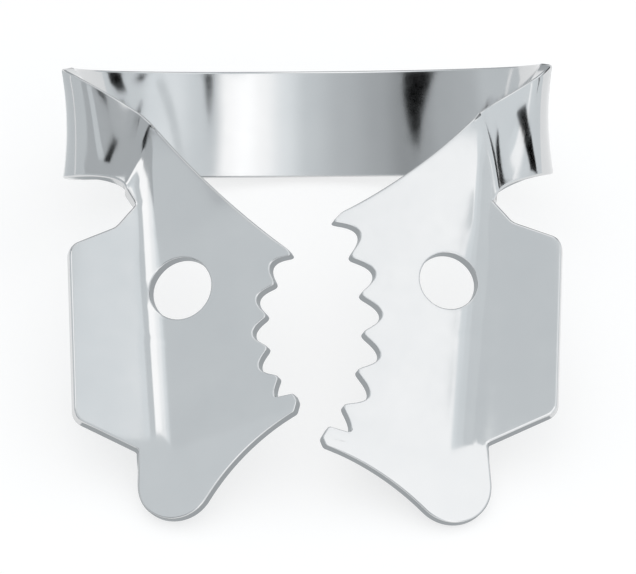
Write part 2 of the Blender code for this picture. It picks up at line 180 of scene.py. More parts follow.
# Finish: each noise has its scale and its detail
STEEL_DARK = (0.640, 0.646, 0.652, 1.0)
STEEL_LIGHT = (0.664, 0.668, 0.672, 1.0)
FACE_ROUGHNESS = 0.09
ROUGHNESS_SPREAD = 0.015
RIM_DULLNESS = 0.05
CLOUDS = (420.0, 3.0)
WEAR = (1500.0, 4.0)
GRAIN = (14000.0, 2.0)
NOISE_SPAN = (0.30, 0.70)
GRAIN_STRENGTH = 0.03
GRAIN_DEPTH = 0.00001

# Fineness of the bow and of the rings round a forceps hole
STRIP_STEPS = 28
FACET_STEPS = 5
FOLD_STEPS = 5
LEG_STEPS = 24
ARCH_STEPS = 52
ROUND_RINGS = 6
JAW_RINGS = 17

# Fineness of a jaw's outline
HOLLOW_POINTS = 120
HEEL_POINTS = 6
GRIP_POINTS = 900
NOSE_POINTS = 8
LOBE_POINTS = 160
LOBE_SIDE_POINTS = 20
WING_SIDE_POINTS = 60
WING_SIDE_KEPT = 48
WING_CORNER_POINTS = 40
WING_KNEE_POINTS = 30
EDGE_STEP = 0.01
RING_STEP = 0.02
PLAIN_SPACING = 0.16
TOOTH_SPACING = 0.085
TOOTH_MARGIN = 0.01
NOSE_GAP = 0.5

# How far a bell curve reaches, and how soft each line is made with it
BELL_REACH = 4.0
CORNER_SOFTNESS = 0.06
TOOTH_SOFTNESS = 0.80
PLAIN_SOFTNESS = 0.35
ZONE_SOFTNESS = 0.5

# Places of the rings: offsets and bands in millimetres, the others are shares
TOOTH_OFFSET = 0.50
PLAIN_OFFSET = 0.46
RIM_BAND = 0.32
TOOTH_BAND = 0.22
BAND_LIMIT = 0.7
STRIP_BAND = 0.065
HOLE_BAND = 0.24
ROUND_BAND = 1.0
RIM_EVENNESS = 0.003
HOLE_EVENNESS = 0.5
HOLE_ROUNDS = 12


def straight(start, end, count):
    """Points from start to end: start plus equal shares of the way, end left out."""
    share = np.arange(count)[:, None] / count
    return np.array(start) * (1.0 - share) + np.array(end) * share


def hollow_line(start, end, hollow, count):
    """The straight line, dipped to its left by 4 hollow s (1 - s) at share s."""
    share = np.arange(count) / count
    along = np.array(end) - np.array(start)
    left = np.array((-along[1], along[0])) / np.linalg.norm(along)
    dip = 4.0 * hollow * share * (1.0 - share)
    return np.array(start) + along * share[:, None] + left * dip[:, None]


def arc(centre, radius, first, last, count):
    """Centre plus radius times (cosine, sine) of evenly spread angles."""
    angle = np.linspace(first, last, count)
    return np.array(centre) + radius * np.stack((np.cos(angle), np.sin(angle)), axis=1)


def rounded_corner(before, corner, after, radius, count):
    """Arc of a circle that touches both sides of a corner, centred on its bisector."""
    corner = np.array(corner)
    back = np.array(before) - corner
    ahead = np.array(after) - corner
    back = back / np.linalg.norm(back)
    ahead = ahead / np.linalg.norm(ahead)
    half = np.arccos(np.clip(back @ ahead, -1.0, 1.0)) / 2.0
    bisector = (back + ahead) / np.linalg.norm(back + ahead)
    centre = corner + bisector * radius / np.sin(half)
    first = corner + back * radius / np.tan(half) - centre
    last = corner + ahead * radius / np.tan(half) - centre
    turn = np.arctan2(first[0] * last[1] - first[1] * last[0], first @ last)
    start = np.arctan2(first[1], first[0])
    return arc(centre, radius, start, start + turn, count)


def grip_line(jaw, count):
    """Toothed edge: an arc through the tips whose radius grows by the tooth depth
    times a scallop wave, the root of sine squared plus a rounding squared. The last
    half gap is left to the nose."""
    first = np.array(jaw["first_tip"])
    last = np.array(jaw["last_tip"])
    chord = last - first
    length = np.linalg.norm(chord)
    left = np.array((-chord[1], chord[0])) / length
    hollow = jaw["grip_hollow"]
    radius = (length**2 / 4.0 + hollow**2) / (2.0 * hollow)
    centre = (first + last) / 2.0 + left * (hollow - radius)
    spread = np.arcsin(length / 2.0 / radius)
    middle = np.arctan2(left[1], left[0])
    gaps = jaw["teeth"] - 1
    phase = np.linspace(0.0, gaps - NOSE_GAP, count)
    wave = np.sqrt(np.sin(np.pi * phase) ** 2 + TOOTH_ROUNDING**2) - TOOTH_ROUNDING
    wave = wave / (np.sqrt(1.0 + TOOTH_ROUNDING**2) - TOOTH_ROUNDING)
    angle = middle + spread - 2.0 * spread * phase / gaps
    reach = radius + jaw["tooth_depth"] * wave
    return centre + reach[:, None] * np.stack((np.cos(angle), np.sin(angle)), axis=1)


def strip_shares():
    """Shares of the strip's width: a band at each rim and even steps between them."""
    inner = np.linspace(STRIP_BAND, 1.0 - STRIP_BAND, STRIP_STEPS - 1)
    return np.concatenate(([0.0], inner, [1.0]))


def running_length(points):
    """Length of a line up to each of its points: the running sum of its steps."""
    steps = np.linalg.norm(np.diff(points, axis=0), axis=1)
    return np.concatenate(([0.0], np.cumsum(steps)))


def read_line(points, run, where):
    """Points of a line at given running lengths, straight between its own points."""
    return np.stack([np.interp(where, run, points[:, k]) for k in (0, 1)], axis=1)


def bell_curve(step, reach):
    """Weights of neighbours at even steps, e to the power of minus half the square
    of offset over reach, made to add up to 1; also how many lie on each side."""
    count = int(round(BELL_REACH * reach / step))
    offset = np.arange(-count, count + 1) * step
    bell = np.exp(-0.5 * (offset / reach) ** 2)
    return bell / bell.sum(), count


def running_mean(points, bell):
    """Mean of neighbouring points under a bell curve, for each column by itself."""
    columns = [np.convolve(column, bell, mode="valid") for column in points.T]
    return np.stack(columns, axis=1)


def softened(points, step, reach):
    """Bell-curve mean of the neighbours along a line; its ends stay where they are,
    because the line is continued past each end by its own point reflection."""
    bell, count = bell_curve(step, reach)
    before = 2.0 * points[0] - points[count:0:-1]
    after = 2.0 * points[-1] - points[-2 : -2 - count : -1]
    return running_mean(np.vstack((before, points, after)), bell)


def softened_ring(points, step, reach):
    """Bell-curve mean of the neighbours round a closed line of even steps."""
    bell, count = bell_curve(step, reach)
    return running_mean(np.vstack((points[-count:], points, points[:count])), bell)


def free_edge(jaw):
    """Edge of a jaw from the root round the teeth, lobe and wing to the upper notch,
    and the share of its length at which the teeth begin and end."""
    notch, low = jaw["upper_notch"], jaw["lower_notch"]
    front, back, knee = jaw["wing_front"], jaw["wing_back"], jaw["wing_knee"]
    centre, radius = np.array(jaw["lobe_centre"]), jaw["lobe_radius"]
    away = np.array(low) - centre
    end = np.arctan2(away[1], away[0]) - np.arccos(radius / np.linalg.norm(away))
    lobe = arc(centre, radius, jaw["lobe_start"], end, LOBE_POINTS)
    back_edge = hollow_line(jaw["root"], jaw["heel"], jaw["back_hollow"], HOLLOW_POINTS)
    teeth = np.vstack(
        (
            straight(jaw["heel"], jaw["first_tip"], HEEL_POINTS),
            grip_line(jaw, GRIP_POINTS),
            straight(jaw["nose_back"], jaw["last_tip"], NOSE_POINTS),
            straight(jaw["last_tip"], jaw["nose"], NOSE_POINTS),
        )
    )
    rest = np.vstack(
        (
            hollow_line(jaw["nose"], lobe[0], jaw["front_hollow"], HOLLOW_POINTS),
            lobe,
            straight(lobe[-1], low, LOBE_SIDE_POINTS)[1:],
            straight(low, front, WING_SIDE_POINTS)[:WING_SIDE_KEPT],
            rounded_corner(low, front, back, WING_FRONT_RADIUS, WING_CORNER_POINTS),
            rounded_corner(front, back, knee, WING_BACK_RADIUS, WING_CORNER_POINTS),
            rounded_corner(back, knee, notch, WING_KNEE_RADIUS, WING_KNEE_POINTS),
            np.array([notch]),
        )
    )
    edge = np.vstack((back_edge, teeth, rest))
    run = running_length(edge)
    first = run[len(back_edge)] / run[-1]
    last = run[len(back_edge) + len(teeth)] / run[-1]
    return edge, first, last


def jaw_rim(jaw):
    """Closed outline of a jaw: the root line, then the free edge with its corners
    softened, its points nearest to each other at the teeth. Also 1 at the teeth."""
    edge, first, last = free_edge(jaw)
    run = running_length(edge)
    fine = read_line(edge, run, np.linspace(0.0, run[-1], int(run[-1] / EDGE_STEP)))
    fine = softened(fine, EDGE_STEP, CORNER_SOFTNESS)
    run = running_length(fine)
    share = run / run[-1]
    toothed = (share > first - TOOTH_MARGIN) & (share < last + TOOTH_MARGIN)
    crowd = np.where(toothed, 1.0 / TOOTH_SPACING, 1.0 / PLAIN_SPACING)
    load = np.concatenate(([0.0], np.cumsum(np.diff(run) * crowd[1:])))
    want = np.linspace(0.0, load[-1], int(load[-1]) + 1)
    where = np.interp(want, load, run)[:-1]
    edge = read_line(fine, run, where)
    share = strip_shares()[:-1, None]
    root_line = np.array(jaw["upper_notch"]) * (1.0 - share) + np.array(jaw["root"]) * share
    on_teeth = np.interp(where, run, toothed.astype(float))
    on_teeth = np.concatenate((np.zeros(STRIP_STEPS), on_teeth))
    return np.vstack((root_line, edge)), on_teeth


def inner_rim(rim, on_teeth):
    """The rim's broad form: softened more at the teeth than elsewhere, then moved
    inwards, to its left."""
    closed = np.vstack((rim, rim[:1]))
    run = running_length(closed)
    step = run[-1] / int(run[-1] / RING_STEP)
    where = np.arange(int(round(run[-1] / step))) * step
    even = read_line(closed, run, where)
    teeth = np.interp(where, run, np.append(on_teeth, on_teeth[0]))[:, None]
    teeth = softened_ring(teeth, step, ZONE_SOFTNESS)
    wide = softened_ring(even, step, TOOTH_SOFTNESS)
    plain = softened_ring(even, step, PLAIN_SOFTNESS)
    broad = plain + (wide - plain) * teeth
    along = np.roll(broad, -1, axis=0) - np.roll(broad, 1, axis=0)
    along = along / np.linalg.norm(along, axis=1)[:, None]
    inward = np.stack((-along[:, 1], along[:, 0]), axis=1)
    moved = broad + inward * (PLAIN_OFFSET + (TOOTH_OFFSET - PLAIN_OFFSET) * teeth)
    moved = softened_ring(moved, step, PLAIN_SOFTNESS)
    moved = np.vstack((moved, moved[:1]))
    return read_line(moved, np.append(where, run[-1]), run[:-1])


def eased(raw):
    """Smooth step 3u^2 - 2u^3 of a value u held between 0 and 1; also 6u (1 - u), its
    slope."""
    share = np.clip(raw, 0.0, 1.0)
    return share * share * (3.0 - 2.0 * share), 6.0 * share * (1.0 - share)


def tight_crease(distance):
    """Lift of a wing and its slope across a parabola: the slope grows evenly."""
    near = np.clip(distance + CREASE_HALF_WIDTH, 0.0, 2.0 * CREASE_HALF_WIDTH)
    lift = near**2 / (4.0 * CREASE_HALF_WIDTH) + np.maximum(0.0, distance - CREASE_HALF_WIDTH)
    return lift, near / (2.0 * CREASE_HALF_WIDTH)


def soft_crease(distance, half):
    """Lift of a wing and its slope across a softer bend: the slope is a smooth step of
    the share u of the bend's width, and the lift is its integral, the width times
    u^3 - u^4 / 2, which goes on straight."""
    share = np.clip((distance + half) / (2.0 * half), 0.0, 1.0)
    lift = 2.0 * half * (share**3 - share**4 / 2.0) + np.maximum(0.0, distance - half)
    return lift, eased(share)[0]


def fold(jaw, plan):
    """Height and its two slopes at plan points. The plate falls outward from the
    crease at its own slope. The wing's rise starts as a soft bend, which tightens to
    a parabola near the root, goes on straight, and fades out into the lobe; both
    changes along the crease are smooth steps."""
    across, behind = plan[..., 0], plan[..., 1]
    splay = np.tan(jaw["splay"])
    fall = np.tan(jaw["plate_slope"])
    turn = fall + np.tan(jaw["wing_slope"])
    distance = across - jaw["crease"] - behind * splay
    tight, tight_slope = tight_crease(distance)
    soft, soft_slope = soft_crease(distance, jaw["soft_half_width"])
    first, last = CREASE_FADE
    blend, blend_slope = eased((behind - first) / (last - first))
    lift = soft + blend * (tight - soft)
    lift_slope = soft_slope + blend * (tight_slope - soft_slope)
    lift_behind = blend_slope / (last - first) * (tight - soft)
    share, share_slope = eased((behind - jaw["lower_notch"][1]) / LOBE_FADE + 1.0)
    height = -fall * distance + share * turn * lift
    slope_across = -fall + share * turn * lift_slope
    rise_behind = share_slope / LOBE_FADE * lift + share * lift_behind
    slope_behind = -splay * slope_across + turn * rise_behind
    return height, slope_across, slope_behind


def on_jaw(jaw, plan, depth):
    """Points of a jaw's sheet: the folded height over the plan, moved down along
    the surface's normal by a depth."""
    height, slope_across, slope_behind = fold(jaw, plan)
    normal = np.stack((-slope_across, -slope_behind, np.ones_like(height)), axis=-1)
    normal = normal / np.linalg.norm(normal, axis=-1)[..., None]
    points = np.concatenate((plan, height[..., None]), axis=-1) - depth * normal
    points[..., 0] *= jaw["side"]
    return points


def hole_ring(jaw, angle, radius, depth):
    """Plan points whose surface points lie on a round bar square through the plate:
    the plan is moved, again and again, by what is left between the two."""
    centre = np.array(jaw["hole"])
    fall = np.tan(jaw["plate_slope"])
    splay = np.tan(jaw["splay"])
    normal = np.array((fall, -fall * splay, 1.0))
    normal = normal / np.linalg.norm(normal)
    first = np.array((1.0, 0.0, -normal[0] / normal[2]))
    first = first / np.linalg.norm(first)
    second = np.cross(normal, first)
    height = fold({**jaw, "wing_slope": -jaw["plate_slope"]}, centre)[0]
    middle = np.array((centre[0], centre[1], height))
    want = radius * np.stack((np.cos(angle), np.sin(angle)), axis=-1)
    plan = centre + want
    for _ in range(HOLE_ROUNDS):
        points = on_jaw(jaw, plan, depth)
        points[..., 0] *= jaw["side"]
        away = points - middle
        now = np.stack((away @ first, away @ second), axis=-1)
        plan = plan + (want - now)
    return plan


def bearing(points, centre):
    """Distance from a centre and direction round it, counted on past a full turn."""
    away = points - np.array(centre)
    return np.linalg.norm(away, axis=1), np.unwrap(np.arctan2(away[:, 1], away[:, 0]))


def jaw_plans(jaw):
    """Rings of plan points from the forceps hole to the rim: the hole, round rings on
    which evenly spread spokes move to the rim's directions, straight spokes to the
    rim's broad form, a ring close to the rim, the rim. The two faces differ only at
    the hole, which goes straight through. Directions never run backwards."""
    rim, on_teeth = jaw_rim(jaw)
    count = len(rim)
    centre = np.array(jaw["hole"])
    reach, angle = bearing(inner_rim(rim, on_teeth), centre)
    angle = np.maximum.accumulate(angle)
    even = FULL_TURN * np.arange(count) / count
    even = even + np.mean(angle - even)
    angle = angle + RIM_EVENNESS * (even - angle)
    spokes = angle + HOLE_EVENNESS * (even - angle)
    near = hole_ring(jaw, spokes, jaw["hole_radius"] + HOLE_BAND, 0.0)
    near_reach, near_angle = bearing(near, centre)
    turns = np.round((spokes[0] - near_angle[0]) / FULL_TURN)
    near_angle = near_angle + FULL_TURN * turns
    share = (np.arange(ROUND_RINGS + 1) / ROUND_RINGS)[:, None]
    last = jaw["hole_radius"] + HOLE_BAND + ROUND_BAND
    distance = near_reach + (last - near_reach) * share
    direction = near_angle + (angle - near_angle) * share
    share = (np.arange(1, JAW_RINGS + 1) / JAW_RINGS)[:, None]
    distance = np.vstack((distance, last + (reach - last) * share))
    direction = np.vstack((direction, angle + 0.0 * share))
    spread = np.stack((np.cos(direction), np.sin(direction)), axis=-1)
    between = centre + distance[..., None] * spread
    inward = between[-1] - rim
    length = np.linalg.norm(inward, axis=1)[:, None]
    width = RIM_BAND + (TOOTH_BAND - RIM_BAND) * on_teeth[:, None]
    band = rim + inward / length * np.minimum(width, BAND_LIMIT * length)
    outer = np.concatenate((between, band[None], rim[None]))
    top = np.concatenate((hole_ring(jaw, spokes, jaw["hole_radius"], 0.0)[None], outer))
    low = hole_ring(jaw, spokes, jaw["hole_radius"], SHEET_THICKNESS)
    bottom = np.concatenate((low[None], outer))
    return top, bottom, on_teeth


def curve(points, share):
    """Cubic curve through control points, weighted (1-t)^3, 3(1-t)^2 t, 3(1-t) t^2, t^3."""
    rest = 1.0 - share
    a, b, c, d = points
    return rest**3 * a + 3.0 * rest**2 * share * b + 3.0 * rest * share**2 * c + share**3 * d


def bow_point(across, level, depth):
    """Place of a point of the bow's own leaning frame in the jaws' frame."""
    behind = level * np.cos(BOW_LEAN) + depth * np.sin(BOW_LEAN)
    height = level * np.sin(BOW_LEAN) - depth * np.cos(BOW_LEAN)
    across, behind, height = np.broadcast_arrays(across, behind, height)
    return np.stack((across, behind, height), axis=-1)


def half_bow(jaw):
    """Grid of a leg and half the arch, for each share of the strip: a straight facet
    from the plate's root line, the fold as a quadratic curve through its corner, a
    cubic curve to the side of the bow and another one to its top."""
    side = jaw["side"]
    share = strip_shares()
    notch, root = np.array(jaw["upper_notch"]), np.array(jaw["root"])
    plan = notch + (root - notch) * share[:, None]
    start = on_jaw(jaw, plan, 0.0)
    climb = np.arctan(fold(jaw, plan)[1])
    outward = np.stack((side * np.cos(climb), 0.0 * climb, np.sin(climb)), axis=1)
    backward = np.gradient(start, share, axis=0)
    backward = backward / np.linalg.norm(backward, axis=1)[:, None]
    rise = LEG_FRONT_RISE + (jaw["back_rise"] - LEG_FRONT_RISE) * share
    heading = outward * np.cos(rise)[:, None] + backward * np.sin(rise)[:, None]
    down = side * np.cross(backward, outward)
    down = down / np.linalg.norm(down, axis=1)[:, None]
    bend = LEG_FRONT_FOLD + (LEG_BACK_FOLD - LEG_FRONT_FOLD) * share
    folded = heading * np.cos(bend)[:, None] + down * np.sin(bend)[:, None]
    facet = LEG_BACK_FACET + (jaw["facet"] - LEG_BACK_FACET) * (1.0 - share) ** 2
    corner = start + heading * facet[:, None]
    before = corner - heading * LEG_FOLD_ROUND
    behind = corner + folded * LEG_FOLD_ROUND
    level = BOW_LEVEL + BOW_STRIP * share
    half = side * (jaw["bow_reach"] + BOW_FLARE * (2.0 * share - 1.0) ** 2)
    reach = LEG_FRONT_REACH + (LEG_BACK_REACH - LEG_FRONT_REACH) * share
    side_reach = SIDE_FRONT_REACH + (SIDE_BACK_REACH - SIDE_FRONT_REACH) * share**2
    inset = side * SIDE_BACK_INSET * share**2
    drop = jaw["side_drop"] * share**2
    facet_share = np.linspace(0.0, 1.0, FACET_STEPS + 1)[:-1, None, None]
    fold_share = np.linspace(0.0, 1.0, FOLD_STEPS + 1)[:-1, None, None]
    leg_share = np.linspace(0.0, 1.0, LEG_STEPS + 1)[:, None, None]
    arch_share = np.linspace(0.0, 1.0, ARCH_STEPS + 1)[1:, None, None]
    flat = start + (before - start) * facet_share
    rest = 1.0 - fold_share
    turned = rest**2 * before + 2.0 * rest * fold_share * corner + fold_share**2 * behind
    leg = curve(
        (
            behind,
            behind + folded * reach[:, None],
            bow_point(half - inset, level - drop, BOW_SIDE_DEPTH - side_reach),
            bow_point(half, level, BOW_SIDE_DEPTH),
        ),
        leg_share,
    )
    arch = curve(
        (
            bow_point(half, level, BOW_SIDE_DEPTH),
            bow_point(half, level, BOW_SIDE_DEPTH + BOW_SIDE_REACH),
            bow_point(side * BOW_TOP_REACH, level, BOW_TOP_DEPTH),
            bow_point(0.0, level, BOW_TOP_DEPTH),
        ),
        arch_share,
    )
    return np.concatenate((flat, turned, leg, arch))


def grid_normals(grid):
    """Unit cross products of a grid's two directions, from differences of its points."""
    along = np.gradient(grid, axis=0, edge_order=2)
    over = np.gradient(grid, axis=1, edge_order=2)
    normal = np.cross(over, along)
    return normal / np.linalg.norm(normal, axis=-1)[..., None]


def quads(index, turned):
    """The four corners of each cell of a grid of point numbers."""
    a, b = index[:-1, :-1], index[:-1, 1:]
    c, d = index[1:, 1:], index[1:, :-1]
    corners = (a, d, c, b) if turned else (a, b, c, d)
    return np.stack(corners, axis=-1).reshape(-1, 4)


def clamp_mesh():
    """The whole sheet as one closed shell: two jaws as rings round their holes, both
    faces, joined along the root lines to the strip of the bow, and the cut edges.
    Also for each point how round its rim is: 0 away from the rims."""
    points, faces, rounds, count = [], [], [], 0
    roots = {}
    for jaw in (LEFT, RIGHT):
        top_plan, bottom_plan, on_teeth = jaw_plans(jaw)
        top = on_jaw(jaw, top_plan, 0.0)
        bottom = on_jaw(jaw, bottom_plan, SHEET_THICKNESS)
        rings, columns = top.shape[:2]
        number = np.arange(rings * columns).reshape(rings, columns)
        closed = np.hstack((number, number[:, :1]))
        turned = jaw["side"] > 0.0
        over, under = closed + count, closed + count + rings * columns
        faces.append(quads(over, turned))
        faces.append(quads(under, not turned))
        free = np.stack((over[-1, STRIP_STEPS:], under[-1, STRIP_STEPS:]))
        faces.append(quads(free, turned))
        hole = np.stack((over[0], under[0]))
        faces.append(quads(hole, not turned))
        roots[jaw["side"]] = (over[-1, : STRIP_STEPS + 1], under[-1, : STRIP_STEPS + 1])
        points += [top.reshape(-1, 3), bottom.reshape(-1, 3)]
        count += 2 * rings * columns
        rim = np.zeros((rings, columns))
        rim[0] = HOLE_RIM_SHARE
        rim[-1] = 1.0 + (TOOTH_RIM_SHARE - 1.0) * on_teeth
        rim[-1, 1:STRIP_STEPS] = 0.0
        rounds += [rim.reshape(-1), rim.reshape(-1)]
    left, right = half_bow(LEFT), half_bow(RIGHT)
    strip = np.concatenate((left, right[-2::-1]))
    normal = grid_normals(strip)
    normal = normal * np.sign(normal[len(strip) // 2, 0, 1])
    strip_low = strip - SHEET_THICKNESS * normal
    rows = len(strip) - 2
    number = np.arange(rows * (STRIP_STEPS + 1)).reshape(rows, -1)
    over = np.vstack((roots[-1.0][0], number + count, roots[1.0][0]))
    count += number.size
    under = np.vstack((roots[-1.0][1], number + count, roots[1.0][1]))
    points += [strip[1:-1].reshape(-1, 3), strip_low[1:-1].reshape(-1, 3)]
    rim = np.zeros((rows, STRIP_STEPS + 1))
    rim[:, (0, -1)] = 1.0
    rounds += [rim.reshape(-1), rim.reshape(-1)]
    faces.append(quads(over, False))
    faces.append(quads(under, True))
    faces.append(quads(np.stack((over[:, 0], under[:, 0])), False))
    faces.append(quads(np.stack((over[:, -1], under[:, -1])), True))
    return np.vstack(points), np.vstack(faces), np.concatenate(rounds)


def at_rest(points):
    """Jaws' frame in millimetres to the floor's frame in metres: turned about x by
    the rest turn, then shifted."""
    return (points @ REST_MATRIX.T + REST_SHIFT) * MM


def into_box(points, low, high):
    """Linear fit along each axis, only as far as the points would leave the box."""
    first, last = points.min(axis=0), points.max(axis=0)
    new_first, new_last = np.maximum(first, low), np.minimum(last, high)
    return new_first + (points - first) * (new_last - new_first) / (last - first)


def rim_edges(mesh, faces, rounds):
    """Roundness of each edge: the mean of its ends' where both lie on a rim and one
    of its two faces is a wall between the sheet's sides, else 0. A wall's four
    corners are all on rims."""
    count = len(mesh.edges)
    ends = np.empty(2 * count, np.int32)
    mesh.edges.foreach_get("vertices", ends)
    ends = ends.reshape(-1, 2)
    edge_of = np.empty(len(mesh.loops), np.int32)
    mesh.loops.foreach_get("edge_index", edge_of)
    edge_of = edge_of.reshape(-1, 4)
    wall = np.all(rounds[faces] > 0.0, axis=1)
    walls = np.bincount(edge_of[wall].reshape(-1), minlength=count)
    weight = rounds[ends].mean(axis=1)
    return np.where(walls == 1, weight, 0.0)


def placed(name, data):
    """A new object at the origin of the scene."""
    thing = bpy.data.objects.new(name, data)
    bpy.context.scene.collection.objects.link(thing)
    return thing


def make_piece(name, points, faces, rounds, material):
    """A smooth-shaded mesh object from arrays of points and four-cornered faces."""
    mesh = bpy.data.meshes.new(name)
    mesh.from_pydata(points.tolist(), [], faces.tolist())
    mesh.polygons.foreach_set("use_smooth", np.ones(len(faces), bool))
    weight = mesh.attributes.new("bevel_weight_edge", "FLOAT", "EDGE")
    weight.data.foreach_set("value", rim_edges(mesh, faces, rounds))
    rim = mesh.attributes.new("rim", "FLOAT", "POINT")
    rim.data.foreach_set("value", (rounds > 0.0).astype(float))
    mesh.materials.append(material)
    mesh.update()
    return placed(name, mesh)


def noise(tree, place, scale, detail):
    """Soft noise over the object's own coordinates, in metres."""
    texture = tree.nodes.new("ShaderNodeTexNoise")
    texture.inputs["Scale"].default_value = scale
    texture.inputs["Detail"].default_value = detail
    tree.links.new(place.outputs["Object"], texture.inputs["Vector"])
    return texture.outputs["Fac"]


def ramp_between(tree, value, low, high, first=0.0, last=1.0, kind="LINEAR"):
    """Value spread from one range to another, evenly or as a smooth step."""
    spread = tree.nodes.new("ShaderNodeMapRange")
    spread.interpolation_type = kind
    spread.inputs["From Min"].default_value = low
    spread.inputs["From Max"].default_value = high
    spread.inputs["To Min"].default_value = first
    spread.inputs["To Max"].default_value = last
    tree.links.new(value, spread.inputs["Value"])
    return spread.outputs["Result"]


def worked_out(tree, operation, *values):
    """Result of a Math node; each value is another node's output or a plain number."""
    node = tree.nodes.new("ShaderNodeMath")
    node.operation = operation
    for value, socket in zip(values, node.inputs):
        if isinstance(value, float):
            socket.default_value = value
        else:
            tree.links.new(value, socket)
    return node.outputs[0]


def spring_steel():
    """Bright rolled steel: a cool grey with faint clouds in tint and polish, a fine
    grain from tumbling, and rims a little duller than the faces."""
    steel = bpy.data.materials.new("spring_steel")
    steel.use_nodes = True
    tree = steel.node_tree
    shader = tree.nodes["Principled BSDF"]
    place = tree.nodes.new("ShaderNodeTexCoord")
    clouds = noise(tree, place, *CLOUDS)
    tint = tree.nodes.new("ShaderNodeValToRGB")
    ends = zip(tint.color_ramp.elements, NOISE_SPAN, (STEEL_DARK, STEEL_LIGHT))
    for element, where, colour in ends:
        element.position = where
        element.color = colour
    tree.links.new(clouds, tint.inputs["Fac"])
    tree.links.new(tint.outputs["Color"], shader.inputs["Base Color"])
    shader.inputs["Metallic"].default_value = 1.0
    wear = noise(tree, place, *WEAR)
    smooth, rough = FACE_ROUGHNESS - ROUGHNESS_SPREAD, FACE_ROUGHNESS + ROUGHNESS_SPREAD
    polish = ramp_between(tree, wear, *NOISE_SPAN, smooth, rough)
    rim = tree.nodes.new("ShaderNodeAttribute")
    rim.attribute_name = "rim"
    dull = ramp_between(tree, rim.outputs["Fac"], 0.0, 1.0, 0.0, RIM_DULLNESS)
    tree.links.new(worked_out(tree, "ADD", polish, dull), shader.inputs["Roughness"])
    grain = noise(tree, place, *GRAIN)
    bump = tree.nodes.new("ShaderNodeBump")
    bump.inputs["Strength"].default_value = GRAIN_STRENGTH
    bump.inputs["Distance"].default_value = GRAIN_DEPTH
    tree.links.new(grain, bump.inputs["Height"])
    tree.links.new(bump.outputs["Normal"], shader.inputs["Normal"])
    return steel


steel = spring_steel()
shell_points, shell_faces, shell_rounds = clamp_mesh()
shell_points = into_box(at_rest(shell_points), cad_low, cad_high)
clamp = make_piece("clamp_sheet", shell_points, shell_faces, shell_rounds, steel)
rounding = clamp.modifiers.new("rims", "BEVEL")
rounding.width = RIM_RADIUS * MM
rounding.segments = RIM_SEGMENTS
rounding.limit_method = "WEIGHT"
rounding.use_clamp_overlap = False
rounding.harden_normals = True
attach(clamp, "root")
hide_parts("clamp")

# Studio: brightness of the soft surroundings by direction. x is to the right,
# y to the back, z up; bearings run from the front to the right, in degrees.
OVERHEAD = (
    (-1.00, 0.74),
    (-0.60, 0.80),
    (-0.575, 0.82),
    (-0.50, 1.04),
    (-0.36, 1.24),
    (-0.10, 1.42),
    (0.13, 1.42),
    (0.17, 0.90),
    (0.33, 0.92),
    (0.41, 1.00),
    (0.425, 1.04),
    (0.455, 1.34),
    (0.60, 1.34),
    (0.75, 0.92),
    (1.00, 0.86),
)
FRONT = (
    (-180.0, 0.90),
    (-93.0, 0.76),
    (-80.0, 0.64),
    (-55.0, 0.58),
    (-47.0, 0.50),
    (-36.0, 0.42),
    (-26.0, 0.54),
    (-11.0, 0.66),
    (2.0, 0.83),
    (10.0, 1.10),
    (18.0, 1.38),
    (25.0, 1.55),
    (33.0, 1.42),
    (38.5, 0.85),
    (45.0, 0.90),
    (56.0, 1.08),
    (68.0, 1.02),
    (76.0, 0.88),
    (90.0, 0.85),
    (180.0, 0.95),
)
BEHIND = 0.50

# Steps of z and y over which one part of the surroundings goes over to the next
OVERHEAD_FROM_HEIGHT = (0.76, 0.84)
OVERHEAD_FROM_DEPTH = (-0.28, -0.12)
BEHIND_FROM_DEPTH = (0.52, 0.72)

# Most of a level that fits in a colour, and the tint of the dim levels, which fades
# from the cool level up to the neutral one
HEADROOM = 2.0
COOL = np.array((0.950, 1.000, 1.030))
COOL_LEVEL = 1.0
NEUTRAL_LEVEL = 1.4


def held(level):
    """A grey level as a colour, cool when dim and neutral when bright. It is held at
    its size over the headroom, and a strength of the headroom brings it back."""
    share = np.clip((NEUTRAL_LEVEL - level) / (NEUTRAL_LEVEL - COOL_LEVEL), 0.0, 1.0)
    colour = level * (1.0 + (COOL - 1.0) * share)
    return (*(colour / HEADROOM), 1.0)


def level_ramp(tree, value, stops, low, high):
    """A ramp of grey levels over a value between two limits."""
    spread = ramp_between(tree, value, low, high)
    ramp = tree.nodes.new("ShaderNodeValToRGB")
    ramp.color_ramp.interpolation = "EASE"
    while len(ramp.color_ramp.elements) < len(stops):
        ramp.color_ramp.elements.new(0.5)
    for element, (where, level) in zip(ramp.color_ramp.elements, stops):
        element.position = (where - low) / (high - low)
    for element, (where, level) in zip(ramp.color_ramp.elements, stops):
        element.color = held(level)
    tree.links.new(spread, ramp.inputs["Fac"])
    return ramp.outputs["Color"]


def blend_levels(tree, share, first, second):
    """Mix of two levels by a share."""
    mix = tree.nodes.new("ShaderNodeMix")
    mix.data_type = "RGBA"
    tree.links.new(share, mix.inputs["Factor"])
    colours = [socket for socket in mix.inputs if socket.type == "RGBA"]
    tree.links.new(first, colours[0])
    tree.links.new(second, colours[1])
    return [socket for socket in mix.outputs if socket.type == "RGBA"][0]


